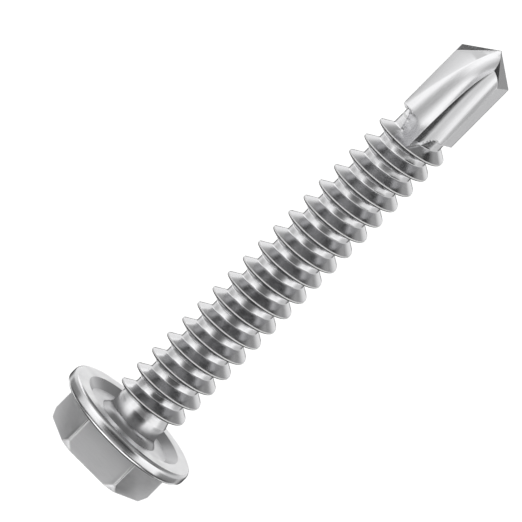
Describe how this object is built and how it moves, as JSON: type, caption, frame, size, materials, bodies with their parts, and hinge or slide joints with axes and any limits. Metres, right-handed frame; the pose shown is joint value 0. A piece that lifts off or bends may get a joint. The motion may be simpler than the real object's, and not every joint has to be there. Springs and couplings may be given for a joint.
{
  "type": "self drilling screw",
  "caption": "Hexagon washer head self drilling screw with a spaced thread and a two-flute drill point, for fixing sheet metal to steel.",
  "frame": {"origin": "middle of the hexagon head's end face, where the screw stands on its head", "axes": "+Z along the shank from the head to the tip of the drill point; -Y faces a flat of the hexagon"},
  "size_m": [0.0128, 0.0128, 0.0489],
  "materials": {
    "steel": "bright plated steel with fine turned lines round the shank and rim"
  },
  "bodies": {
    "root": {"drill_screw": "steel"}
  },
  "joints": []
}
